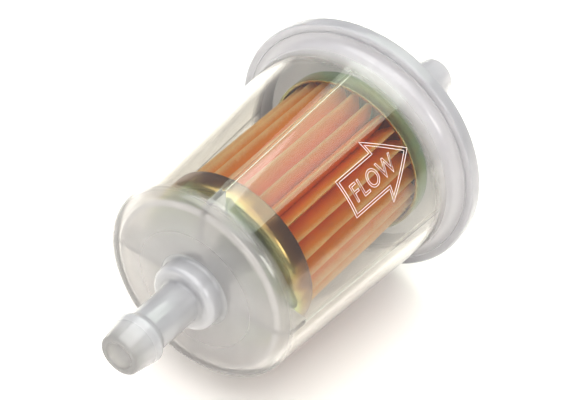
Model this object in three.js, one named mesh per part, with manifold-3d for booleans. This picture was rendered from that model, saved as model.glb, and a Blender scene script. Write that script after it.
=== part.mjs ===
// An in-line fuel filter for a small engine. Millimetres, with +X along the flow, from the inlet to the
// outlet, +Z up, and the origin on the axis, halfway between the tips of the two hose barbs.
// A clear moulded bowl and a white moulded cover are welded rim to rim around a pleated paper element,
// which fuel crosses from the outside in.
import * as THREE from "three";
import { mergeVertices } from "three/addons/utils/BufferGeometryUtils.js";
import Module from "manifold-3d";

const wasm = await Module();
wasm.setup();

// Clearances
const bondGap = 0.05; // a glued or pressed face
const sealGap = 0.1; // the grommet against what it seals
const centringGap = 0.3; // the element's end cap against the bowl's ribs

// Hose barbs, both alike, for a hose of 6.35 mm bore
const boreRadius = 2.2;
const stemWall = 1.2;
const barbHeight = 0.8;
const barbTaper = 4.8;
const barbShoulder = 1.2;
const tipWall = 1.1;
const tipEdge = 0.3;
const bossWidth = 2.2;
const bossHeight = 3;
const bossEdge = 1;
const inletStem = 8.4; // from the boss to the foot of the barb's shoulder
const outletStem = 10.4;

// Element
const elementLength = 36.2;
const capRadius = 14;
const capSheet = 0.5;
const capSkirt = 3.8;
const capBend = 1.3;
const tubeRadius = 7;
const tubeWall = 0.5;
const tubeHoleRadius = 0.9;
const tubeRows = 6;
const tubeHolePairs = 3; // each row is drilled right through, so it has twice as many holes
const pottingDepth = 1.3;
const pleatCount = 28;
const pleatGap = 0.3;
const paperThickness = 0.45;
const clipThickness = 0.3;
const clipDepth = 2.2;
const clipPleat = -5; // the pleat that carries the clip, counted from +Y towards +Z

// Grommet
const sealNeckWall = 1;
const sealNeckLength = 1.5; // past the cap's sheet
const sealFlange = 1.05;
const sealLip = 2.2;

// Bowl
const bowlWall = 1.5;
const endWall = 1.6;
const bowlDraft = THREE.MathUtils.degToRad(3.8);
const bowlCorner = 2.2;
const bowlFillet = 1.4;
const flangeWidth = 1.6;
const flangeThickness = 1.2;
const plenumDepth = 4.4; // free depth between the end wall and the element
const ribCount = 4;
const finWidth = 1;
const ribWidth = 0.6;
const ribDepth = 1.2;
const ribEnd = 3; // the ribs stop this far short of the flange

// Cover
const rimWidth = 1.4;
const rimThickness = 2.4;
const rimEdge = 0.4;
const hubRadius = 9.5;
const hubHeight = 3;
const spigotLength = 3.4;

const circleSteps = 48;
const arcSteps = 4;

// Radii that follow
const stemRadius = boreRadius + stemWall;
const barbRadius = stemRadius + barbHeight;
const tipRadius = boreRadius + tipWall;
const bossRadius = stemRadius + bossWidth;
const capInside = capRadius - capSheet;
const pleatOutside = capInside - pleatGap;
const pleatInside = tubeRadius + pleatGap;
const sealInside = stemRadius + sealGap;
const sealOutside = sealInside + sealNeckWall;
const capHole = sealOutside + sealGap;
const ribInside = capRadius + centringGap;
const draftSlope = Math.tan(bowlDraft);
const radialWall = bowlWall / Math.cos(bowlDraft);

// Places along X that follow
const nozzle = barbTaper + barbShoulder + bossHeight;
const coverStep = sealFlange + 2 * bondGap - flangeThickness - bondGap;
const bowlLength = endWall + plenumDepth + elementLength + coverStep;
const totalLength =
  nozzle + inletStem + bowlLength + rimThickness + hubHeight + outletStem + nozzle;
const inletTip = -totalLength / 2;
const endFace = inletTip + nozzle + inletStem;
const elementFront = endFace + endWall + plenumDepth;
const elementBack = elementFront + elementLength;
const flangeFront = endFace + bowlLength;
const flangeBack = flangeFront + flangeThickness;
const coverFloor = flangeBack + bondGap;
const coverBack = flangeFront + rimThickness;
const outletTip = totalLength / 2;
const insideFront = elementFront + capSheet + bondGap; // between the two caps' sheets
const insideBack = elementBack - capSheet - bondGap;
const paperFront = insideFront + pottingDepth + bondGap;
const paperBack = insideBack - pottingDepth - bondGap;

// The bowl's inner and outer radius at x, on its tapered wall.
function insideAt(x) {
  return ribInside + ribDepth + (x - elementFront) * draftSlope;
}

function outsideAt(x) {
  return insideAt(x) + radialWall;
}

// Points [radius, x] of an arc about a centre, with its angles in degrees from the radial direction.
function arc(centreRadius, centreX, radius, from, to) {
  const points = [];
  for (let i = 0; i <= arcSteps; i++) {
    const angle = THREE.MathUtils.degToRad(from + ((to - from) * i) / arcSteps);
    points.push([
      centreRadius + radius * Math.cos(angle),
      centreX + radius * Math.sin(angle),
    ]);
  }
  return points;
}

// A solid turned about X from a profile of [radius, x] points, which runs towards +X on the outside.
function turned(profile) {
  const points = profile.map(([radius, x]) => new THREE.Vector2(radius, x));
  return new THREE.LatheGeometry(points, circleSteps).rotateZ(-Math.PI / 2);
}

function ring(inner, outer, from, to) {
  return turned([
    [inner, from],
    [outer, from],
    [outer, to],
    [inner, to],
    [inner, from],
  ]);
}

function solid(geometry) {
  const bare = geometry.clone();
  bare.deleteAttribute("normal");
  bare.deleteAttribute("uv");
  const merged = mergeVertices(bare, 1e-4);
  return new wasm.Manifold(
    new wasm.Mesh({
      numProp: 3,
      vertProperties: merged.attributes.position.array,
      triVerts: new Uint32Array(merged.index.array),
    }),
  );
}

function geometryOf(manifold) {
  const { vertProperties, triVerts } = manifold.getMesh();
  const geometry = new THREE.BufferGeometry();
  geometry.setAttribute("position", new THREE.BufferAttribute(vertProperties, 3));
  geometry.setIndex(new THREE.BufferAttribute(triVerts, 1));
  return geometry;
}

// A flat plate of an outline of [radius, x] points, standing on its edge on the axis, turned about X.
function finPlate(outline, width, angle) {
  const shape = new THREE.Shape(outline.map(([radius, x]) => new THREE.Vector2(x, radius)));
  return new THREE.ExtrudeGeometry(shape, { depth: width, bevelEnabled: false })
    .translate(0, 0, -width / 2)
    .rotateX(angle);
}

// The outside of a hose barb from its tip inwards, with direction 1 at the inlet and -1 at the outlet.
function barbProfile(tip, direction, stem) {
  return [
    [tipRadius - tipEdge, tip],
    [tipRadius, tip + direction * tipEdge],
    [barbRadius, tip + direction * barbTaper],
    [stemRadius, tip + direction * (barbTaper + barbShoulder)],
    [stemRadius, tip + direction * (barbTaper + barbShoulder + stem)],
  ];
}

function housingBowl() {
  const bossTop = endFace - bossHeight;
  const wallStart = endFace + bowlCorner;
  const wallEnd = flangeFront - bowlFillet;
  const innerCorner = bowlCorner - endWall / 2;
  const innerFace = endFace + endWall;
  const body = solid(
    turned([
      [boreRadius, inletTip],
      ...barbProfile(inletTip, 1, inletStem),
      ...arc(bossRadius - bossEdge, bossTop + bossEdge, bossEdge, -90, 0),
      [bossRadius, endFace],
      ...arc(outsideAt(wallStart) - bowlCorner, wallStart, bowlCorner, -90, 0),
      ...arc(outsideAt(wallEnd) + bowlFillet, wallEnd, bowlFillet, 180, 90),
      [outsideAt(flangeFront) + flangeWidth, flangeFront],
      [outsideAt(flangeFront) + flangeWidth, flangeBack],
      [insideAt(flangeBack), flangeBack],
      ...arc(insideAt(innerFace) - innerCorner, innerFace + innerCorner, innerCorner, 0, -90),
      [boreRadius, innerFace],
      [boreRadius, inletTip],
    ]),
  );

  const rooted = radialWall / 2;
  const finTop = elementFront - centringGap;
  const ribStop = flangeFront - ribEnd;
  const fin = [
    [stemRadius + sealGap, innerFace - rooted],
    [insideAt(innerFace), innerFace - rooted],
    [insideAt(finTop) + rooted, finTop],
    [stemRadius + sealGap, finTop],
  ];
  const rib = [
    [insideAt(innerFace) - ribDepth, innerFace + bondGap],
    [insideAt(innerFace) + rooted, innerFace + bondGap],
    [insideAt(ribStop) + rooted, ribStop],
    [insideAt(ribStop), ribStop],
    [insideAt(ribStop - ribDepth) - ribDepth, ribStop - ribDepth],
  ];
  let bowl = body;
  for (let i = 0; i < ribCount; i++) {
    const angle = (i * 2 * Math.PI) / ribCount;
    bowl = bowl.add(solid(finPlate(fin, finWidth, angle)));
    bowl = bowl.add(solid(finPlate(rib, ribWidth, angle)));
  }
  return geometryOf(bowl);
}

function outletCover() {
  const lipInside = outsideAt(flangeFront) + flangeWidth + bondGap;
  const rimRadius = lipInside + rimWidth;
  const hubBack = coverBack + hubHeight;
  const bossBack = hubBack + bossHeight;
  return turned([
    [boreRadius, coverFloor - spigotLength],
    [stemRadius, coverFloor - spigotLength],
    [stemRadius, coverFloor],
    [lipInside, coverFloor],
    [lipInside, flangeFront],
    ...arc(rimRadius - rimEdge, flangeFront + rimEdge, rimEdge, -90, 0),
    ...arc(rimRadius - rimEdge, coverBack - rimEdge, rimEdge, 0, 90),
    [hubRadius, coverBack],
    [bossRadius, hubBack],
    ...arc(bossRadius - bossEdge, bossBack - bossEdge, bossEdge, 0, 90),
    ...barbProfile(outletTip, -1, outletStem).reverse(),
    [boreRadius, outletTip],
    [boreRadius, coverFloor - spigotLength],
  ]);
}

// An end cap of the element: a pressed cup with a rounded bend, open in the middle if it has a hole.
// Its sheet lies at x and its skirt runs in the given direction.
function endCap(x, direction, hole) {
  const bendX = x + direction * capBend;
  const turn = direction * -90;
  const outline = [
    [hole, x],
    ...arc(capRadius - capBend, bendX, capBend, turn, 0),
    [capRadius, x + direction * capSkirt],
    [capInside, x + direction * capSkirt],
    ...arc(capRadius - capBend, bendX, capBend - capSheet, 0, turn),
    [hole, x + direction * capSheet],
  ];
  if (hole > 0) {
    outline.push([hole, x]);
  }
  if (direction < 0) {
    outline.reverse();
  }
  return turned(outline);
}

// The adhesive that fills a cap between its skirt and the support tube.
function potting(x, direction) {
  const near = x + direction * (capSheet + bondGap);
  const far = near + direction * pottingDepth;
  const clearOfBend = capInside - bondGap;
  const bendFoot = capRadius - capBend;
  const bendX = x + direction * (capBend + bondGap);
  const outline = [
    [tubeRadius + bondGap, near],
    [bendFoot, near],
    [clearOfBend, bendX],
    [clearOfBend, far],
    [tubeRadius + bondGap, far],
    [tubeRadius + bondGap, near],
  ];
  if (direction < 0) {
    outline.reverse();
  }
  return turned(outline);
}

function supportTube() {
  const length = insideBack - insideFront;
  const spacing = length / tubeRows;
  const drill = new THREE.CylinderGeometry(tubeHoleRadius, tubeHoleRadius, 2.4 * tubeRadius, 8);
  let tube = solid(ring(tubeRadius - tubeWall, tubeRadius, insideFront, insideBack));
  for (let row = 0; row < tubeRows; row++) {
    const stagger = (row % 2) / 2;
    for (let pair = 0; pair < tubeHolePairs; pair++) {
      const hole = drill
        .clone()
        .rotateX((Math.PI * (pair + stagger + 0.25)) / tubeHolePairs)
        .translate(insideFront + (row + 0.5) * spacing, 0, 0);
      tube = tube.subtract(solid(hole));
    }
  }
  return geometryOf(tube);
}

// The pleats' zigzag as [angle, radius] corners, with the ridges and valleys at two radii.
function zigzag(ridge, valley) {
  const corners = [];
  for (let i = 0; i < pleatCount; i++) {
    const angle = (2 * Math.PI * i) / pleatCount;
    corners.push([angle, ridge]);
    corners.push([angle + Math.PI / pleatCount, valley]);
  }
  return corners;
}

// How far the paper's two faces lie apart along a radius, for its thickness square to the sheet.
const pleatLean = Math.atan2(
  ((pleatOutside + pleatInside) / 2) * (Math.PI / pleatCount),
  pleatOutside - pleatInside,
);
const paperAcross = paperThickness / Math.sin(pleatLean);

function cornerPoint([angle, radius]) {
  return new THREE.Vector2(radius * Math.cos(angle), radius * Math.sin(angle));
}

// An outline in the plane across the axis, extruded along X. Its X and Y become Y and Z.
function extrudedAlong(shape, from, to) {
  return new THREE.ExtrudeGeometry(shape, { depth: to - from, bevelEnabled: false })
    .rotateX(Math.PI / 2)
    .rotateZ(Math.PI / 2)
    .translate(from, 0, 0);
}

function pleatedPaper() {
  const shape = new THREE.Shape(zigzag(pleatOutside, pleatInside + paperAcross).map(cornerPoint));
  shape.holes.push(new THREE.Path(zigzag(pleatOutside - paperAcross, pleatInside).map(cornerPoint)));
  return extrudedAlong(shape, paperFront, paperBack);
}

// A folded strip that grips one ridge of the paper, between the two caps' skirts.
function pleatSeamClip() {
  const valley = pleatInside + paperAcross;
  const half = Math.PI / pleatCount;
  const flank = (valley * Math.sin(half)) / (pleatOutside - valley * Math.cos(half));
  const bottom = pleatOutside - clipDepth;
  const side = (radius, gap) => (pleatOutside - radius) * flank + gap * Math.hypot(1, flank);
  const innerTop = pleatOutside + sealGap;
  const outerTop = innerTop + clipThickness;
  const outer = sealGap + clipThickness;
  const outline = [
    [bottom, side(bottom, sealGap)],
    [bottom, side(bottom, outer)],
    [outerTop, side(innerTop, outer)],
    [outerTop, -side(innerTop, outer)],
    [bottom, -side(bottom, outer)],
    [bottom, -side(bottom, sealGap)],
    [innerTop, -side(innerTop, sealGap)],
    [innerTop, side(innerTop, sealGap)],
  ];
  const turn = (2 * Math.PI * clipPleat) / pleatCount;
  const centre = new THREE.Vector2();
  const points = outline.map(([radius, across]) =>
    new THREE.Vector2(radius, across).rotateAround(centre, turn),
  );
  const from = elementFront + capSkirt + bondGap;
  const to = elementBack - capSkirt - bondGap;
  return extrudedAlong(new THREE.Shape(points), from, to);
}

// A rubber grommet: its flange lies between the cap and the cover, its neck passes through the cap.
function outletSeal() {
  const neckEnd = elementBack - capSheet - sealNeckLength;
  const flangeStart = elementBack + bondGap;
  const flangeEnd = coverFloor - bondGap;
  return turned([
    [sealInside, neckEnd],
    [sealOutside, neckEnd],
    [sealOutside, flangeStart],
    [capHole + sealLip, flangeStart],
    [capHole + sealLip, flangeEnd],
    [sealInside, flangeEnd],
    [sealInside, neckEnd],
  ]);
}

const clearNylon = new THREE.MeshStandardMaterial({ color: 0xd9d8d4, roughness: 0.2, metalness: 0 });
const whiteNylon = new THREE.MeshStandardMaterial({ color: 0xd2d2dc, roughness: 0.35, metalness: 0 });
const platedSteel = new THREE.MeshStandardMaterial({ color: 0x9a9a4c, roughness: 0.25, metalness: 1 });
const bareSteel = new THREE.MeshStandardMaterial({ color: 0x9c9c9c, roughness: 0.35, metalness: 1 });
const resinPaper = new THREE.MeshStandardMaterial({ color: 0xcc7434, roughness: 0.8, metalness: 0 });
const adhesive = new THREE.MeshStandardMaterial({ color: 0x8a4a22, roughness: 0.5, metalness: 0 });
const nitrile = new THREE.MeshStandardMaterial({ color: 0x1c1c1c, roughness: 0.6, metalness: 0 });

const filter = new THREE.Group();

function addPiece(name, geometry, material) {
  const mesh = new THREE.Mesh(geometry, material);
  mesh.name = name;
  filter.add(mesh);
}

addPiece("housing_bowl", housingBowl(), clearNylon);
addPiece("outlet_cover", outletCover(), whiteNylon);
addPiece("inlet_end_cap", endCap(elementFront, 1, 0), platedSteel);
addPiece("outlet_end_cap", endCap(elementBack, -1, capHole), platedSteel);
addPiece("pleated_paper", pleatedPaper(), resinPaper);
addPiece("support_tube", supportTube(), bareSteel);
addPiece("inlet_potting", potting(elementFront, 1), adhesive);
addPiece("outlet_potting", potting(elementBack, -1), adhesive);
addPiece("outlet_seal", outletSeal(), nitrile);
addPiece("pleat_seam_clip", pleatSeamClip(), bareSteel);

export default filter;
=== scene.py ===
# In-line fuel filter: a clear nylon bowl and a white nylon cover, welded rim to rim around a pleated
# paper element. Metres, +X along the flow, +Z up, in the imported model's frame.
import math

import bmesh
import bpy
from mathutils import Matrix, Vector


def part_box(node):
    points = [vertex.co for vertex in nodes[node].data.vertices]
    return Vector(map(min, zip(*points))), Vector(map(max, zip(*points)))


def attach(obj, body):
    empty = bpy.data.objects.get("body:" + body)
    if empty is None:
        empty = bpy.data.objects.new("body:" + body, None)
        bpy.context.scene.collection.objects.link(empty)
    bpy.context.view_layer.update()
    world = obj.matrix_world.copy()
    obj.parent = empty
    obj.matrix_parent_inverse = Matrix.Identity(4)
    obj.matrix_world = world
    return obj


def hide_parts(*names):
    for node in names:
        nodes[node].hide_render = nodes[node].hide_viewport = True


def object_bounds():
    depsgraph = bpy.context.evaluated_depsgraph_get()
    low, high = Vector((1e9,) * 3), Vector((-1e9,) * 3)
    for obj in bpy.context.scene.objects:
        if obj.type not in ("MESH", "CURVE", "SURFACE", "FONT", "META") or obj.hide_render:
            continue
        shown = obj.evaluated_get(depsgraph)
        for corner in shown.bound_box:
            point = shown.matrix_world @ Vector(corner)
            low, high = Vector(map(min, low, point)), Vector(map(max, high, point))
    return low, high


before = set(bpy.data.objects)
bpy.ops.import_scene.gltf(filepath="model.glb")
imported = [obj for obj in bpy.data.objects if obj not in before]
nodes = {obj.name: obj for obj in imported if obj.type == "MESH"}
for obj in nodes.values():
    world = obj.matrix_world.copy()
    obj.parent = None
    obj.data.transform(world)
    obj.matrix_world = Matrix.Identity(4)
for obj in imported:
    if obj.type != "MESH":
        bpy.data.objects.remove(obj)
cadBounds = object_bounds()
mm = 0.001
tiny = 1e-7  # metres: nearer than this, two points are one


def hexColour(code):
    parts = [int(code[i:i + 2], 16) / 255 for i in (1, 3, 5)]
    linear = [p / 12.92 if p <= 0.04045 else ((p + 0.055) / 1.055) ** 2.4 for p in parts]
    return (*linear, 1)


def addNode(tree, kind, sockets=None, stops=(), **settings):
    # a socket's value is a number, a colour or another node's output; stops are a colour ramp's
    made = tree.nodes.new(kind)
    for name, value in settings.items():
        setattr(made, name, value)
    for key, value in (sockets or {}).items():
        if isinstance(value, bpy.types.NodeSocket):
            tree.links.new(value, made.inputs[key])
        else:
            made.inputs[key].default_value = value
    for i, (position, code) in enumerate(stops):
        elements = made.color_ramp.elements
        element = elements[i] if i < 2 else elements.new(position)
        element.position = position
        element.color = hexColour(code)
    return made


def newMaterial(name, **shader):
    # a material with one Principled shader, whose sockets are set by name
    material = bpy.data.materials.new(name)
    material.use_nodes = True
    tree = material.node_tree
    tree.nodes.clear()
    sockets = {key.replace("_", " "): value for key, value in shader.items()}
    principled = addNode(tree, "ShaderNodeBsdfPrincipled", sockets)
    addNode(tree, "ShaderNodeOutputMaterial", {"Surface": principled.outputs["BSDF"]})
    place = addNode(tree, "ShaderNodeTexCoord").outputs["Object"]
    return material, tree, principled, place


def filleted(corners, steps=6):
    # a closed outline of (radius, x, fillet) corners, in mm, with its corners rounded
    points = []
    for i, (radius, x, fillet) in enumerate(corners):
        corner = Vector((radius, x))
        if fillet == 0:
            points.append(corner)
            continue
        back = (Vector(corners[i - 1][:2]) - corner).normalized()
        ahead = (Vector(corners[(i + 1) % len(corners)][:2]) - corner).normalized()
        half = back.angle(ahead) / 2
        centre = corner + (back + ahead).normalized() * fillet / math.sin(half)
        start = corner + back * fillet / math.tan(half) - centre
        turn = -start.angle_signed(corner + ahead * fillet / math.tan(half) - centre)
        for step in range(steps + 1):
            points.append(centre + Matrix.Rotation(turn * step / steps, 2) @ start)
    return points


def turned(name, outline, steps):
    # a closed outline in mm, turned about X; a point on the axis becomes a pole
    mesh = bmesh.new()
    rings = []
    for radius, x in outline:
        if radius < tiny / mm:
            rings.append([mesh.verts.new((x * mm, 0, 0))])
            continue
        ring = []
        for step in range(steps):
            angle = 2 * math.pi * step / steps
            side, up = radius * math.cos(angle), radius * math.sin(angle)
            ring.append(mesh.verts.new(Vector((x, side, up)) * mm))
        rings.append(ring)
    for i, ring in enumerate(rings):
        last = rings[i - 1]
        if len(ring) == 1 and len(last) == 1:
            continue
        for step in range(steps):
            after = (step + 1) % steps
            corners = [
                last[step % len(last)], last[after % len(last)],
                ring[after % len(ring)], ring[step % len(ring)],
            ]
            mesh.faces.new(list(dict.fromkeys(corners)))  # a triangle beside a pole
    return meshObject(name, mesh)


def closeUp(mesh):
    # points that meet become one, and the faces look outwards
    bmesh.ops.remove_doubles(mesh, verts=mesh.verts, dist=tiny)
    bmesh.ops.recalc_face_normals(mesh, faces=mesh.faces)


def meshObject(name, mesh):
    closeUp(mesh)
    data = bpy.data.meshes.new(name)
    mesh.to_mesh(data)
    mesh.free()
    made = bpy.data.objects.new(name, data)
    bpy.context.scene.collection.objects.link(made)
    return made


def plainMesh(made, name):
    # the object's evaluated mesh as a new object, with its modifiers applied
    graph = bpy.context.evaluated_depsgraph_get()
    data = bpy.data.meshes.new_from_object(made.evaluated_get(graph))
    bpy.data.objects.remove(made)
    data.name = name
    plain = bpy.data.objects.new(name, data)
    bpy.context.scene.collection.objects.link(plain)
    return plain


def cut(made, other, operation):
    modifier = made.modifiers.new("join", "BOOLEAN")
    modifier.operation = operation
    modifier.object = other
    modifier.solver = "EXACT"
    name = made.name
    made.name = name + ".before"
    joined = plainMesh(made, name)
    bpy.data.objects.remove(other)
    return joined


def smoothShade(made, sharpAngle):
    made.data.shade_smooth()
    made.data.set_sharp_from_angle(angle=math.radians(sharpAngle))


def finishPiece(made, node, materials, finish=()):
    # finish names the material of each face, where a piece has more than one
    made.data.materials.clear()
    for material in materials:
        made.data.materials.append(material)
    for face, material in zip(made.data.polygons, finish):
        face.material_index = materials.index(material)
    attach(made, "root")
    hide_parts(node)


cameraSetting = {
    "turn": 58.5,  # degrees from +Y towards +X that the lens looks along
    "down": 42.7,
    "roll": 6.4,
    "distance": 293.2,  # mm
    "aim": (0.12, 0.39, 0.36),
    "lens": 116.4,
    "sensor": 36,
    "nearest": 0.01,  # metres
}


def placeCamera(setting):
    turn = math.radians(setting["turn"])
    down = math.radians(setting["down"])
    level = math.cos(down)
    forward = Vector((math.sin(turn) * level, math.cos(turn) * level, -math.sin(down)))
    camera = bpy.data.objects.new("camera", bpy.data.cameras.new("camera"))
    camera.data.lens = setting["lens"]
    camera.data.sensor_width = setting["sensor"]
    camera.data.clip_start = setting["nearest"]
    camera.location = (Vector(setting["aim"]) - forward * setting["distance"]) * mm
    look = forward.to_track_quat("-Z", "Y").to_matrix()
    roll = Matrix.Rotation(math.radians(setting["roll"]), 3, "Z")
    camera.rotation_euler = (look @ roll).to_euler()
    bpy.context.scene.collection.objects.link(camera)
    bpy.context.scene.camera = camera


placeCamera(cameraSetting)

lightSetting = {
    # direction from the part, distance and size in metres, radiance, colour
    "backBox": ((0.53, 0.02, 0.8), 0.8, (0.73, 0.46), 2.4, "#F0FFEE"),
    "topBox": ((-0.2, 0.11, 0.95), 1.0, (1.5, 1.5), 2.4, "#FFFFFF"),
    "frontBox": ((-0.8, -0.35, 0.45), 1.2, (1.0, 0.8), 1.25, "#FFFFFF"),
    "sideBox": ((-0.28, -0.82, 0.49), 0.8, (0.3, 0.3), 6.5, "#FFFDFA"),
}


def placeLight(name, setting):
    direction, distance, (width, height), radiance, colour = setting
    light = bpy.data.lights.new(name, "AREA")
    light.shape = "RECTANGLE"
    light.size = width
    light.size_y = height
    light.energy = radiance * math.pi * width * height
    light.color = hexColour(colour)[:3]
    lamp = bpy.data.objects.new(name, light)
    away = Vector(direction).normalized()
    lamp.location = away * distance
    lamp.rotation_euler = away.to_track_quat("Z", "Y").to_euler()
    bpy.context.scene.collection.objects.link(lamp)


for lightName, setting in lightSetting.items():
    placeLight(lightName, setting)

studioSetting = {"sky": "#CCCCCF", "skyStrength": 0.85, "floor": "#FBF6F0", "floorHalf": 3.0}
world = bpy.data.worlds.new("studio")
bpy.context.scene.world = world
world.use_nodes = True
sky = world.node_tree.nodes["Background"]
sky.inputs["Color"].default_value = hexColour(studioSetting["sky"])
sky.inputs["Strength"].default_value = studioSetting["skyStrength"]

floorMesh = bmesh.new()
bmesh.ops.create_grid(floorMesh, x_segments=2, y_segments=2, size=studioSetting["floorHalf"])
floor = meshObject("floor", floorMesh)
floor.data.transform(Matrix.Translation((0, 0, cadBounds[0][2])))
if floor.data.polygons[0].normal.z < 0:
    floor.data.flip_normals()
floorColour = hexColour(studioSetting["floor"])
floorPaper = newMaterial("mattFloorPaper", Base_Color=floorColour, Roughness=0.9)[0]
floor.data.materials.append(floorPaper)

scene = bpy.context.scene
scene.view_settings.view_transform = "Standard"
scene.cycles.max_bounces = 24
scene.cycles.transmission_bounces = 20
scene.cycles.glossy_bounces = 8
scene.cycles.diffuse_bounces = 5
scene.cycles.transparent_max_bounces = 12
print("camera, lights and floor placed")


def clearNylonMaterial(setting):
    # transparent nylon, polished by its mould: clear, a little grey in depth, with a soft haze
    material, tree, principled, place = newMaterial(
        "clearNylonMoulded",
        Base_Color=hexColour(setting["tint"]),
        Roughness=setting["roughness"],
        IOR=1.53,
        Transmission_Weight=setting["transmission"],
    )
    ripple = addNode(tree, "ShaderNodeTexNoise", {
        "Vector": place, "Scale": 1 / (setting["ripple"] * mm), "Detail": 1.0,
    })
    bump = addNode(tree, "ShaderNodeBump", {
        "Height": ripple.outputs["Fac"], "Strength": 0.1, "Distance": 0.01 * mm,
    })
    tree.links.new(bump.outputs["Normal"], principled.inputs["Normal"])
    return material


mouldGrain = 0.25  # mm, the texture of an unpolished mould


def milkyNylonMaterial(setting):
    # the same nylon where the tool was left unpolished and the section is thick: it blurs what is
    # behind it, and clears towards the polished wall
    material, tree, principled, place = newMaterial(
        setting["name"],
        Roughness=setting["roughness"],
        IOR=1.53,
        Transmission_Weight=setting["transmission"],
        Subsurface_Weight=setting["subsurface"],
        Subsurface_Scale=setting["depth"] * mm,
        Subsurface_Radius=(1.0, 1.0, 1.0),
        Coat_Weight=1.0,
        Coat_Roughness=0.06,
    )
    cloud = addNode(tree, "ShaderNodeTexNoise", {
        "Vector": place, "Scale": 1 / (setting["cloud"] * mm), "Detail": 2.0,
    })
    colour = addNode(tree, "ShaderNodeValToRGB", {"Fac": cloud.outputs["Fac"]}, stops=[
        (0.3, setting["shade"]), (0.7, setting["colour"]),
    ]).outputs["Color"]
    if "clears" in setting:
        # milky up to one reach and clear past the other, where reach is x and a share of the radius
        milkyX, clearX, outward = setting["clears"]
        apart = addNode(tree, "ShaderNodeSeparateXYZ", {"Vector": place})
        flat = addNode(tree, "ShaderNodeVectorMath", {0: place, 1: (0, 1, 1)}, operation="MULTIPLY")
        radius = addNode(tree, "ShaderNodeVectorMath", {0: flat.outputs["Vector"]}, operation="LENGTH")
        reach = addNode(tree, "ShaderNodeMath", {
            0: radius.outputs["Value"], 1: outward, 2: apart.outputs["X"],
        }, operation="MULTIPLY_ADD")
        for socket, milky, clear in (
            ("Transmission Weight", setting["transmission"], 1.0),
            ("Roughness", setting["roughness"], clearSetting["roughness"]),
            ("Coat Weight", 1.0, 0.0),
        ):
            share = addNode(tree, "ShaderNodeMapRange", {
                "Value": reach.outputs["Value"], "From Min": milkyX, "From Max": clearX,
                "To Min": milky, "To Max": clear,
            }, interpolation_type="SMOOTHSTEP")
            tree.links.new(share.outputs["Result"], principled.inputs[socket])
        fade = addNode(tree, "ShaderNodeMapRange", {
            "Value": reach.outputs["Value"], "From Min": milkyX, "From Max": clearX,
        }, interpolation_type="SMOOTHSTEP")
        blend = addNode(tree, "ShaderNodeMix", {
            "Factor": fade.outputs["Result"], 6: colour, 7: hexColour(clearSetting["tint"]),
        }, data_type="RGBA")
        colour = blend.outputs[2]
    tree.links.new(colour, principled.inputs["Base Color"])
    grain = addNode(tree, "ShaderNodeTexNoise", {
        "Vector": place, "Scale": 1 / (mouldGrain * mm), "Detail": 2.0,
    })
    bump = addNode(tree, "ShaderNodeBump", {
        "Height": grain.outputs["Fac"], "Strength": 0.1, "Distance": 0.01 * mm,
    })
    tree.links.new(bump.outputs["Normal"], principled.inputs["Normal"])
    return material


def platedSteelMaterial(setting):
    # steel plated with zinc and passivated yellow: the film thickens from the mouth of a cup to its
    # face, so its tint runs from pink and gold to green and blue, with drifting clouds
    material, tree, principled, place = newMaterial("yellowPassivatedZinc", Metallic=1.0)
    film = addNode(tree, "ShaderNodeAttribute", attribute_name="filmDepth")
    drift = addNode(tree, "ShaderNodeTexNoise", {
        "Vector": place, "Scale": 1 / (setting["drift"] * mm), "Detail": 2.0, "Distortion": 0.6,
    })
    cloud = addNode(tree, "ShaderNodeMath", {
        0: drift.outputs["Fac"], 1: 0.9, 2: -0.45,
    }, operation="MULTIPLY_ADD")
    depth = addNode(tree, "ShaderNodeMath", {
        0: film.outputs["Fac"], 1: cloud.outputs["Value"],
    }, operation="ADD")
    colour = addNode(tree, "ShaderNodeValToRGB", {"Fac": depth.outputs["Value"]}, stops=setting["tints"])
    tree.links.new(colour.outputs["Color"], principled.inputs["Base Color"])
    fine = addNode(tree, "ShaderNodeTexNoise", {
        "Vector": place, "Scale": 1 / (setting["grain"] * mm), "Detail": 3.0,
    })
    smoothest, roughest = setting["roughness"]
    roughness = addNode(tree, "ShaderNodeMapRange", {
        "Value": fine.outputs["Fac"], "To Min": smoothest, "To Max": roughest,
    })
    tree.links.new(roughness.outputs["Result"], principled.inputs["Roughness"])
    bump = addNode(tree, "ShaderNodeBump", {
        "Height": fine.outputs["Fac"], "Strength": 0.02, "Distance": 0.01 * mm,
    })
    tree.links.new(bump.outputs["Normal"], principled.inputs["Normal"])
    return material


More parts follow.
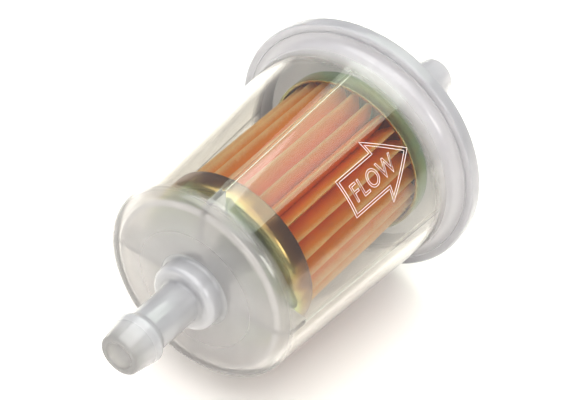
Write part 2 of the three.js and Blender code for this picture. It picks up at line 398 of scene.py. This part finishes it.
def filterPaperMaterial(setting):
    # cellulose paper cured with resin: orange with a felt of fibres, and a painted highlight that pales
    # it to yellow towards the ridges of the folds
    material, tree, principled, place = newMaterial("resinCuredFilterPaper", Roughness=0.75)
    flat = addNode(tree, "ShaderNodeVectorMath", {0: place, 1: (0, 1, 1)}, operation="MULTIPLY")
    radius = addNode(tree, "ShaderNodeVectorMath", {0: flat.outputs["Vector"]}, operation="LENGTH")
    height = addNode(tree, "ShaderNodeMapRange", {
        "Value": radius.outputs["Value"],
        "From Min": setting["valley"] * mm,
        "From Max": setting["ridge"] * mm,
    })
    fibre = addNode(tree, "ShaderNodeTexNoise", {
        "Vector": place, "Scale": 1 / (setting["fibre"] * mm), "Detail": 4.0,
    })
    blotch = addNode(tree, "ShaderNodeTexNoise", {
        "Vector": place, "Scale": 1 / (setting["blotch"] * mm), "Detail": 2.0,
    })
    mottle = addNode(tree, "ShaderNodeMath", {
        0: fibre.outputs["Fac"], 1: blotch.outputs["Fac"],
    }, operation="ADD")
    shift = addNode(tree, "ShaderNodeMath", {
        0: mottle.outputs["Value"], 1: 0.16, 2: -0.16,
    }, operation="MULTIPLY_ADD")
    factor = addNode(tree, "ShaderNodeMath", {
        0: height.outputs["Result"], 1: shift.outputs["Value"],
    }, operation="ADD")
    # the radius share lifts the tint towards the ridges as a painted highlight; the mottle is the paper's
    # own uneven tone
    colour = addNode(tree, "ShaderNodeValToRGB", {"Fac": factor.outputs["Value"]}, stops=setting["tints"])
    tree.links.new(colour.outputs["Color"], principled.inputs["Base Color"])
    bump = addNode(tree, "ShaderNodeBump", {
        "Height": fibre.outputs["Fac"], "Strength": 0.5, "Distance": 0.06 * mm,
    })
    tree.links.new(bump.outputs["Normal"], principled.inputs["Normal"])
    return material


def speckledMaterial(name, colour, shade, grain, **shader):
    # a plain finish with a mottle of the given grain in mm
    material, tree, principled, place = newMaterial(name, **shader)
    noise = addNode(tree, "ShaderNodeTexNoise", {
        "Vector": place, "Scale": 1 / (grain * mm), "Detail": 3.0,
    })
    mottle = addNode(tree, "ShaderNodeValToRGB", {"Fac": noise.outputs["Fac"]}, stops=[
        (0.35, shade), (0.65, colour),
    ])
    tree.links.new(mottle.outputs["Color"], principled.inputs["Base Color"])
    bump = addNode(tree, "ShaderNodeBump", {
        "Height": noise.outputs["Fac"], "Strength": 0.3, "Distance": 0.03 * mm,
    })
    tree.links.new(bump.outputs["Normal"], principled.inputs["Normal"])
    return material


clearSetting = {"tint": "#E3E0DA", "roughness": 0.03, "transmission": 1.0, "ripple": 9}
clearNylon = clearNylonMaterial(clearSetting)
bowlLow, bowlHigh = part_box("housing_bowl")
milkyNylon = milkyNylonMaterial({
    "clears": (bowlLow.x + 22.6 * mm, bowlLow.x + 38.0 * mm, 0.8),
    "name": "milkyNylonMoulded", "colour": "#C6C4C4", "shade": "#BEBCBC", "roughness": 0.3,
    "transmission": 0.6, "subsurface": 1.0, "depth": 1.5, "cloud": 5,
})
flangeNylon = milkyNylonMaterial({
    "clears": (bowlHigh.x - 2.2 * mm, bowlHigh.x - 7.0 * mm, 0.0),
    "name": "milkyNylonFlange", "colour": "#D2D0D2", "shade": "#CAC8CA", "roughness": 0.35,
    "transmission": 0.3, "subsurface": 1.0, "depth": 3.0, "cloud": 5,
})
thickNylon = milkyNylonMaterial({
    "clears": (bowlLow.x + 5.0 * mm, bowlLow.x - 2.5 * mm, 0.0),
    "name": "milkyNylonThick", "colour": "#A8A8AA", "shade": "#A1A1A3", "roughness": 0.3,
    "transmission": 0.15, "subsurface": 1.0, "depth": 8.0, "cloud": 5,
})
# a lighter copy of the white nylon for the cover's thin floor: painted light in place of the light that
# comes through the thin section into its shaded recess
thinNylonPaintedLight = milkyNylonMaterial({
    "name": "whiteNylonThinPaintedLight", "colour": "#F0F0F4", "shade": "#E8E8EC", "roughness": 0.5,
    "transmission": 0.4, "subsurface": 1.0, "depth": 4.0, "cloud": 6,
})
whiteNylon = milkyNylonMaterial({
    "name": "whiteNylonMoulded", "colour": "#C8C7CB", "shade": "#BFBEC2", "roughness": 0.5,
    "transmission": 0.6, "subsurface": 1.0, "depth": 4.0, "cloud": 6,
})
platedSteel = platedSteelMaterial({
    "drift": 6, "grain": 0.6, "roughness": (0.21, 0.26),
    "tints": [
        (0.0, "#7A6054"), (0.2, "#957258"), (0.38, "#BAA26C"),
        (0.56, "#C6C890"), (0.76, "#B4D09C"), (1.0, "#A6C2B4"),
    ],
})
filterPaper = filterPaperMaterial({
    "valley": 7.3, "ridge": 13.2, "fibre": 0.35, "blotch": 4,
    # the pale yellow stop at the ridge end is a painted highlight on the fold ridges
    "tints": [(0.0, "#FF9C30"), (0.5, "#FF982E"), (0.82, "#F4A23C"), (1.0, "#FCDC96")],
})
# tin plate is bright and faintly clouded, and plastisol is brown and waxy
bareSteel = speckledMaterial(
    "tinnedSteelSheet", "#B9B9B6", "#9C9C9A", 0.8, Metallic=1.0, Roughness=0.32,
)
hotAdhesive = speckledMaterial("plastisolAdhesive", "#8E5A36", "#6F4226", 1.2, Roughness=0.4)
# moulded rubber is a dull near-black
nitrileRubber = speckledMaterial("nitrileRubber", "#26262A", "#1A1A1C", 0.3, Roughness=0.6)
# the fins' sides are as cut in the tool and scatter the light; the mark is really raised, and its whitish
# lines are a painted highlight on the lit edges of its strokes
frostedNylon = speckledMaterial("frostedNylon", "#F4F2F0", "#EAE8E6", 0.4, Roughness=0.5)
paintedHighlightMark = speckledMaterial("ridgeNylonPaintedHighlight", "#F2E4DE", "#E6D6D0", 0.4, Roughness=0.25)
print("materials made")

nozzleSize = {
    "bore": 2.2, "stem": 3.4, "crest": 4.2, "tip": 3.3, "taper": 4.8, "shoulder": 1.2,
    "boss": 5.6, "bossHeight": 3.0,
    "boreEdge": 0.25, "tipEdge": 0.4, "crestEdge": 0.7, "stemFoot": 0.6, "bossEdge": 0.95,
}
bowlSize = {
    "stemLength": 8.4, "bossFoot": 0.7, "endRadius": 16.6, "endWall": 1.6, "endCorner": 2.2,
    "draft": 3.8, "wall": 1.503, "flangeThickness": 1.2, "flangeFillet": 1.4, "flangeEdge": 0.15,
    "mouthEdge": 0.12, "innerCorner": 1.4, "drainEdge": 0.3,
    "finWidth": 0.9, "ribWidth": 0.4, "ribDepth": 0.28, "ribStop": 3.0, "plenum": 4.4, "ribs": 4,
    "haze": 7.2, "thickPast": 0.3,  # how far the thick section's finish reaches past the boss
    "around": 192,
}
bowlEnd = bowlLow.x / mm + bowlSize["stemLength"] + sum(
    nozzleSize[part] for part in ("taper", "shoulder", "bossHeight")
)
sharpEdge = 40  # degrees: a steeper edge between two faces stays sharp
near = 0.01  # mm


def nozzleCorners(size, tip, inward, bossTop):
    # from the mouth of the bore over the barb to the top of the boss; inward is the way in from the tip
    foot = tip + inward * (size["taper"] + size["shoulder"])
    return [
        (size["bore"], tip, size["boreEdge"]),
        (size["tip"], tip, size["tipEdge"]),
        (size["crest"], tip + inward * size["taper"], size["crestEdge"]),
        (size["stem"], foot, size["crestEdge"]),
        (size["stem"], bossTop, size["stemFoot"]),
        (size["boss"], bossTop, size["bossEdge"]),
    ]


def bowlOutside(x):
    # outer radius of the tapered wall at x, in mm
    return bowlSize["endRadius"] + (x - bowlEnd) * math.tan(math.radians(bowlSize["draft"]))


def plate(mesh, outline, width, angle):
    # a flat plate of (radius, x) corners standing on its edge on the axis
    turn = Matrix.Rotation(angle, 3, "X")
    sides = []
    for across in (-width / 2, width / 2):
        sides.append([mesh.verts.new(turn @ Vector((x, radius, across)) * mm) for radius, x in outline])
    mesh.faces.new(sides[0])
    mesh.faces.new(reversed(sides[1]))
    for i in range(len(outline)):
        mesh.faces.new((sides[0][i], sides[0][i - 1], sides[1][i - 1], sides[1][i]))


def makeBowl(size, nozzle):
    back, flange = bowlHigh.x / mm, bowlHigh.z / mm
    end = bowlEnd
    inner = end + size["endWall"]
    front = back - size["flangeThickness"]
    hazeStart = back - size["haze"]
    # rings close to the fillets keep the shading of the straight wall straight
    ringApart = 0.4
    cornerEnd = end + size["endCorner"] + ringApart
    filletStart = front - size["flangeFillet"] - ringApart
    innerEnd = inner + size["innerCorner"] + ringApart

    def inside(x):
        return bowlOutside(x) - size["wall"]

    bossTop = end - nozzle["bossHeight"]
    bowl = turned("bowl", filleted([
        *nozzleCorners(nozzle, bowlLow.x / mm, 1, bossTop),
        (nozzle["boss"], end, size["bossFoot"]),
        (bowlOutside(end), end, size["endCorner"]),
        (bowlOutside(cornerEnd), cornerEnd, 0),
        (bowlOutside(hazeStart), hazeStart, 0),
        (bowlOutside(filletStart), filletStart, 0),
        (bowlOutside(front), front, size["flangeFillet"]),
        (flange, front, size["flangeEdge"]),
        (flange, back, size["flangeEdge"]),
        (inside(back), back, size["mouthEdge"]),
        (inside(hazeStart), hazeStart, 0),
        (inside(innerEnd), innerEnd, 0),
        (inside(inner), inner, size["innerCorner"]),
        (nozzle["bore"], inner, size["drainEdge"]),
    ]), size["around"])
    rooted = size["wall"] / 2
    depth = size["ribDepth"]
    stem = nozzle["stem"] + 0.1
    finTop = inner + size["plenum"] - 0.3  # clear of the element
    ribStart = inner + 0.05
    ribStop = front - size["ribStop"]
    fins, ribs = bmesh.new(), bmesh.new()
    for i in range(size["ribs"]):
        angle = 2 * math.pi * i / size["ribs"]
        plate(fins, [
            (stem, inner - rooted), (inside(inner), inner - rooted),
            (inside(finTop) + rooted, finTop), (stem, finTop),
        ], size["finWidth"], angle)
        plate(ribs, [
            (inside(inner) - depth, ribStart), (inside(inner) + rooted, ribStart),
            (inside(ribStop) + rooted, ribStop), (inside(ribStop), ribStop),
            (inside(ribStop - depth) - depth, ribStop - depth),
        ], size["ribWidth"], angle)
    bowl = cut(bowl, meshObject("fins", fins), "UNION")
    bowl = cut(bowl, meshObject("ribs", ribs), "UNION")
    smoothShade(bowl, sharpEdge)
    # the wall is clear, and each other region has its own finish
    thickRadius = nozzle["boss"] + size["thickPast"]
    finish = []
    for face in bowl.data.polygons:
        x = face.center.x / mm
        radius = math.hypot(face.center.y, face.center.z) / mm
        if x < end - near or radius < thickRadius and x < inner + near:
            finish.append(thickNylon)
        elif inner + near < x < finTop + near and radius < inside(x) - 2 * depth:
            finish.append(frostedNylon)
        elif x < end + size["endCorner"] * 1.4:
            finish.append(milkyNylon)
        elif x > hazeStart:
            finish.append(flangeNylon)
        else:
            finish.append(clearNylon)
    return bowl, finish


bowl, bowlFinish = makeBowl(bowlSize, nozzleSize)
bowlNylons = [clearNylon, milkyNylon, thickNylon, flangeNylon, frostedNylon]
finishPiece(bowl, "housing_bowl", bowlNylons, bowlFinish)
print("bowl made")

markSize = {
    "azimuth": 135.9,  # from +Y towards +Z
    "tail": -5.4, "notch": 2.75, "wing": 2.6, "tip": 9.5, "shaft": 3.2, "head": 5.45,
    "line": 0.05, "gap": 0.42,
    "word": "FLOW", "letterHeight": 2.9, "letterWidth": 0.82, "letterSpace": 1.08, "wordStart": -4.1,
    "capShare": 0.7,  # a capital's share of the type's size
}


def wrapOnBowl(point, azimuth):
    # (along, across, height) in mm on the bowl's outer wall; across runs towards the smaller azimuth
    along, across, height = point
    radius = bowlOutside(along)
    angle = math.radians(azimuth) - across / radius
    radius += height
    return Vector((along, radius * math.cos(angle), radius * math.sin(angle))) * mm


def arrowOutline(size, inset):
    # the slanted edges of the head move further than the straight ones, so the lines stay parallel
    tail, notch, wing = size["tail"] + inset, size["notch"] + inset, size["wing"] + inset
    tip, head = size["tip"] - 1.9 * inset, size["head"] - 2.1 * inset
    shaft = size["shaft"] - inset
    return [
        (tail, -shaft), (notch, -shaft), (wing, -head), (tip, 0),
        (wing, head), (notch, shaft), (tail, shaft),
    ]


pointApart = 0.5  # mm, close enough to bend with the wall


def ridgeCurve(name, splines, thickness):
    # raised lines of a round section, as a mesh, from closed outlines in the flat
    curve = bpy.data.curves.new(name, "CURVE")
    curve.dimensions = "3D"
    curve.bevel_depth = thickness
    curve.bevel_resolution = 2
    for outline in splines:
        spline = curve.splines.new("POLY")
        dense = []
        for i, (along, across) in enumerate(outline):
            nextAlong, nextAcross = outline[(i + 1) % len(outline)]
            away, aside = nextAlong - along, nextAcross - across
            parts = max(1, round(math.hypot(away, aside) / pointApart))
            for part in range(parts):
                share = part / parts
                dense.append((along + away * share, across + aside * share, 0, 1))
        spline.points.add(len(dense) - 1)
        for point, place in zip(spline.points, dense):
            point.co = place
        spline.use_cyclic_u = True
    made = bpy.data.objects.new(name + ".curve", curve)
    bpy.context.scene.collection.objects.link(made)
    return plainMesh(made, name)


def makeMark(size):
    # each stroke is two whitish lines a gap apart, and each letter an outline: painted highlights on the
    # lit edges of the raised mark
    outlines = [arrowOutline(size, inset) for inset in (0, size["gap"])]
    arrow = ridgeCurve("flowArrow", outlines, size["line"])
    text = bpy.data.curves.new("flowWord", "FONT")
    text.body = size["word"]
    text.size = size["letterHeight"] / size["capShare"]
    text.space_character = size["letterSpace"]
    text.fill_mode = "NONE"
    text.bevel_depth = size["line"]
    text.bevel_resolution = 1
    text.resolution_u = 6
    made = bpy.data.objects.new("flowWord.curve", text)
    bpy.context.scene.collection.objects.link(made)
    word = plainMesh(made, "flowWord")
    word.data.transform(
        Matrix.Translation((size["wordStart"], -size["letterHeight"] / 2, 0))
        @ Matrix.Diagonal((size["letterWidth"], 1, 1, 1))
    )
    for piece in (arrow, word):
        for vertex in piece.data.vertices:
            vertex.co = wrapOnBowl(vertex.co, size["azimuth"])
        clean = bmesh.new()
        clean.from_mesh(piece.data)
        closeUp(clean)
        clean.to_mesh(piece.data)
        clean.free()
        piece.data.shade_smooth()
        piece.data.materials.clear()
        piece.data.materials.append(paintedHighlightMark)
        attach(piece, "root")


makeMark(markSize)
print("flow mark made")

coverSize = {
    "stemLength": 10.4, "hub": 9.5, "hubHeight": 3.0, "hubFoot": 0.6, "hubEdge": 0.4,
    "rimWidth": 1.4, "rimThickness": 2.4, "rimFloor": 1.25, "rimEdge": 0.4, "lipEdge": 0.15,
    "cornerEdge": 0.08, "spigot": 3.4, "spigotBore": 0.2, "spigotEdge": 0.3, "around": 160,
}


def makeCover(size, nozzle):
    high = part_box("outlet_cover")[1]
    tip, rim = high.x / mm, high.z / mm
    bossTop = tip - nozzle["taper"] - nozzle["shoulder"] - size["stemLength"]
    hubTop = bossTop - nozzle["bossHeight"]
    back = hubTop - size["hubHeight"]
    front = back - size["rimThickness"]
    floorX = front + size["rimFloor"]
    spigot = floorX - size["spigot"]
    lip = rim - size["rimWidth"]
    cover = turned("cover", filleted([
        (nozzle["bore"], spigot, size["spigotBore"]),
        (nozzle["stem"], spigot, size["spigotEdge"]),
        (nozzle["stem"], floorX, size["cornerEdge"]),
        (lip, floorX, size["cornerEdge"]),
        (lip, front, size["lipEdge"]),
        (rim, front, size["rimEdge"]),
        (rim, back, size["rimEdge"]),
        (size["hub"], back, size["hubFoot"]),
        (nozzle["boss"], hubTop, size["hubEdge"]),
        *reversed(nozzleCorners(nozzle, tip, -1, bossTop)),
    ]), size["around"])
    smoothShade(cover, sharpEdge)
    # the floor of the rim is the thinnest section; its lighter copy of the nylon is painted light,
    # brightening the shaded recess as the light coming through it would
    finish = []
    for face in cover.data.polygons:
        x, radius = face.center.x / mm, math.hypot(face.center.y, face.center.z) / mm
        paintedLightFloor = spigot - 0.1 < x < floorX + 0.3 and radius < lip + 0.3
        finish.append(thinNylonPaintedLight if paintedLightFloor else whiteNylon)
    return cover, finish


cover, coverFinish = makeCover(coverSize, nozzleSize)
finishPiece(cover, "outlet_cover", [whiteNylon, thinNylonPaintedLight], coverFinish)
print("cover made")

capSize = {
    "radius": 14.0, "sheet": 0.5, "skirt": 3.8, "bend": 1.3, "lip": 0.12, "holeEdge": 0.1, "around": 128,
    "filmSkirt": 0.55, "filmFace": 0.5,  # how much the film thickens along the skirt, and to the centre
}


def makeCap(name, node, size, facing, film):
    # facing is the way from the cap's face to its mouth; only the cap at the outlet has a hole
    low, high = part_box(node)
    face = (low.x if facing > 0 else high.x) / mm
    radius, sheet, bend = size["radius"], size["sheet"], size["bend"]
    hole, holeEdge = 0, 0
    if facing < 0:
        hole = round(min(math.hypot(v.co.y, v.co.z) for v in nodes[node].data.vertices) / mm, 2)
        holeEdge = size["holeEdge"]
    mouth = face + facing * size["skirt"]
    corners = [
        (hole, face, holeEdge),
        (radius, face, bend),
        (radius, mouth, size["lip"]),
        (radius - sheet, mouth, size["lip"]),
        (radius - sheet, face + facing * sheet, bend - sheet),
        (hole, face + facing * sheet, holeEdge),
    ]
    cap = turned(name, filleted(corners, 8), size["around"])
    depths = cap.data.attributes.new("filmDepth", "FLOAT", "POINT")
    for vertex, depth in zip(cap.data.vertices, depths.data):
        along = abs(vertex.co.x / mm - mouth) / size["skirt"]
        inward = max(0, radius - math.hypot(vertex.co.y, vertex.co.z) / mm - sheet) / radius
        depth.value = film + along * along * size["filmSkirt"] + inward * size["filmFace"]
    smoothShade(cap, sharpEdge)
    finishPiece(cap, node, [platedSteel])


makeCap("inletCap", "inlet_end_cap", capSize, 1, 0.05)
makeCap("outletCap", "outlet_end_cap", capSize, -1, 0.54)
print("end caps made")

# the tree's inputs, in mm and degrees; only the ridges lean and dip, and none beside the clip
pleatSize = {
    "Pleats": 28, "Ridge": 13.2, "Valley": 8.5, "Sheet": 0.95, "Lean": 0.55, "Dip": 0.5,
    "Clip Angle": -64.3, "Seed": 4.0,
}
pleatLengths = ("Start", "Length", "Ridge", "Valley", "Sheet", "Lean", "Dip")
pleatSteps = 12  # points in one pleat
pleatRows = 48
foldRounding = 0.04
strayAlong = 55.0  # per metre: how fast the ridges wander along the axis
strayAround = 2.6  # and round it
clipHolds = 10  # degrees either side of the clip where the pleats stand straight
clipLetsGo = 26
pleatSharp = 50


def pleatTree(material):
    tree = bpy.data.node_groups.new("pleatedSheet", "GeometryNodeTree")
    tree.interface.new_socket("Geometry", in_out="OUTPUT", socket_type="NodeSocketGeometry")
    tree.interface.new_socket("Pleats", in_out="INPUT", socket_type="NodeSocketInt")
    for name in (*pleatLengths, "Clip Angle", "Seed"):
        tree.interface.new_socket(name, in_out="INPUT", socket_type="NodeSocketFloat")
    maths, vector = "ShaderNodeMath", "ShaderNodeVectorMath"
    add, subtract, times, timesAdd, over, cosine, sine = (
        {"operation": operation}
        for operation in ("ADD", "SUBTRACT", "MULTIPLY", "MULTIPLY_ADD", "DIVIDE", "COSINE", "SINE")
    )
    # each step's name, kind, sockets and settings; a word in a socket is an input or an earlier step
    steps = [
        ("columns", maths, {0: "Pleats", 1: pleatSteps, 2: 1}, timesAdd),
        ("grid", "GeometryNodeMeshGrid", {
            "Size X": 1.0, "Size Y": 1.0, "Vertices X": "columns", "Vertices Y": pleatRows + 1,
        }, {}),
        ("position", "GeometryNodeInputPosition", {}, {}),
        ("here", "ShaderNodeSeparateXYZ", {0: "position"}, {}),
        ("shareAround", maths, {0: "hereX", 1: 0.5}, add),
        ("shareAlong", maths, {0: "hereY", 1: 0.5}, add),
        ("phase", maths, {0: "shareAround", 1: "Pleats"}, times),
        ("along", maths, {0: "shareAlong", 1: "Length", 2: "Start"}, timesAdd),
        ("turns", maths, {0: "phase", 1: 2 * math.pi}, times),
        ("turn", maths, {0: "turns", 1: "Pleats"}, over),
        # the fold is 1 on a ridge and 0 in a valley
        ("halves", maths, {0: "phase", 1: 2.0}, times),
        ("valleys", maths, {0: "halves", 1: 1.0}, {"operation": "PINGPONG"}),
        ("fold", maths, {0: 1.0, 1: "valleys"}, subtract),
        ("eased", "ShaderNodeMapRange", {"Value": "fold"}, {"interpolation_type": "SMOOTHSTEP"}),
        ("rounding", maths, {0: "eased", 1: "fold"}, subtract),
        ("height", maths, {0: "rounding", 1: foldRounding, 2: "fold"}, timesAdd),
        # the sheet wanders a little, more at its ridges; the pattern closes on itself round the axis
        ("strayX", maths, {0: "along", 1: strayAlong}, times),
        ("turnCosine", maths, {0: "turn"}, cosine),
        ("strayY", maths, {0: "turnCosine", 1: strayAround}, times),
        ("turnSine", maths, {0: "turn"}, sine),
        ("strayZ", maths, {0: "turnSine", 1: strayAround}, times),
        ("where", "ShaderNodeCombineXYZ", {"X": "strayX", "Y": "strayY", "Z": "strayZ"}, {}),
        ("noise", "ShaderNodeTexNoise", {
            "Vector": "where", "W": "Seed", "Scale": 1.0, "Detail": 1.5,
        }, {"noise_dimensions": "4D"}),
        ("stray", "FunctionNodeSeparateColor", {0: "noiseColor"}, {}),
        ("clip", maths, {0: "Clip Angle"}, {"operation": "RADIANS"}),
        ("fromClip", maths, {0: "turn", 1: "clip"}, subtract),
        ("clipCosine", maths, {0: "fromClip"}, cosine),
        ("loose", "ShaderNodeMapRange", {
            "Value": "clipCosine", "To Min": 0.0, "To Max": 1.0,
            "From Min": math.cos(math.radians(clipHolds)),
            "From Max": math.cos(math.radians(clipLetsGo)),
        }, {}),
        ("free", maths, {0: "loose", 1: "height"}, times),
        ("leanStray", maths, {0: "strayRed", 1: 0.5}, subtract),
        ("leanFree", maths, {0: "leanStray", 1: "free"}, times),
        ("lean", maths, {0: "leanFree", 1: "Lean"}, times),
        ("dipStray", maths, {0: 0.6, 1: "strayGreen"}, subtract),
        ("dipFree", maths, {0: "dipStray", 1: "free"}, times),
        ("dipAll", maths, {0: "dipFree", 1: "Dip"}, times),
        ("dip", maths, {0: "dipAll", 1: 0.0}, {"operation": "MAXIMUM"}),
        ("depth", maths, {0: "Ridge", 1: "Valley"}, subtract),
        ("upright", maths, {0: "height", 1: "depth", 2: "Valley"}, timesAdd),
        ("radius", maths, {0: "upright", 1: "dip"}, subtract),
        ("leanAngle", maths, {0: "lean", 1: "radius"}, over),
        ("angle", maths, {0: "turn", 1: "leanAngle"}, add),
        ("angleCosine", maths, {0: "angle"}, cosine),
        ("angleSine", maths, {0: "angle"}, sine),
        ("side", maths, {0: "radius", 1: "angleCosine"}, times),
        ("up", maths, {0: "radius", 1: "angleSine"}, times),
        ("spot", "ShaderNodeCombineXYZ", {"X": "along", "Y": "side", "Z": "up"}, {}),
        ("outer", "GeometryNodeSetPosition", {"Geometry": "grid", "Position": "spot"}, {}),
        # the inner face lies a sheet's thickness further in; the outer one is flipped to look out
        ("axial", vector, {0: "position", 1: (0, 1, 1)}, times),
        ("unit", vector, {0: "axial"}, {"operation": "NORMALIZE"}),
        ("inward", maths, {0: "Sheet", 1: -1.0}, times),
        ("offset", vector, {0: "unit", "Scale": "inward"}, {"operation": "SCALE"}),
        ("inner", "GeometryNodeExtrudeMesh", {
            "Mesh": "outer", "Offset": "offset", "Offset Scale": 1.0, "Individual": False,
        }, {}),
        ("flipped", "GeometryNodeFlipFaces", {"Mesh": "outer"}, {}),
    ]
    known = {output.name: output for output in addNode(tree, "NodeGroupInput").outputs}
    for name, kind, sockets, settings in steps:
        found = {key: known[value] if isinstance(value, str) else value for key, value in sockets.items()}
        made = addNode(tree, kind, found, **settings)
        known.update({name + output.name: output for output in made.outputs})
        known[name] = made.outputs[0]
    joined = addNode(tree, "GeometryNodeJoinGeometry")
    for part in ("inner", "flipped"):
        tree.links.new(known[part], joined.inputs[0])
    welded = addNode(tree, "GeometryNodeMergeByDistance", {
        "Geometry": joined.outputs[0], "Distance": 1e-6,
    })
    whole = addNode(tree, "GeometryNodeRealizeInstances", {"Geometry": welded.outputs[0]})
    painted = addNode(tree, "GeometryNodeSetMaterial", {
        "Geometry": whole.outputs[0], "Material": material,
    })
    addNode(tree, "NodeGroupOutput", {0: painted.outputs[0]})
    return tree


def makePaper(size, material):
    low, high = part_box("pleated_paper")
    carrier = bpy.data.objects.new("pleats", bpy.data.meshes.new("pleats"))
    bpy.context.scene.collection.objects.link(carrier)
    modifier = carrier.modifiers.new("pleats", "NODES")
    modifier.node_group = pleatTree(material)
    wanted = {**size, "Start": low.x / mm, "Length": (high.x - low.x) / mm}
    for item in modifier.node_group.interface.items_tree:
        if item.in_out == "INPUT":
            scale = mm if item.name in pleatLengths else 1
            modifier[item.identifier] = wanted[item.name] * scale
    paper = plainMesh(carrier, "pleatedPaper")
    turnedOut = bmesh.new()
    turnedOut.from_mesh(paper.data)
    bmesh.ops.recalc_face_normals(turnedOut, faces=turnedOut.faces)
    turnedOut.to_mesh(paper.data)
    turnedOut.free()
    smoothShade(paper, pleatSharp)
    return paper


finishPiece(makePaper(pleatSize, filterPaper), "pleated_paper", [filterPaper])
print("pleated paper made")

# the pieces hidden in the element keep their shape and get their finish
for node, material in {
    "support_tube": bareSteel, "inlet_potting": hotAdhesive, "outlet_potting": hotAdhesive,
    "outlet_seal": nitrileRubber, "pleat_seam_clip": bareSteel,
}.items():
    nodes[node].data.materials.clear()
    nodes[node].data.materials.append(material)
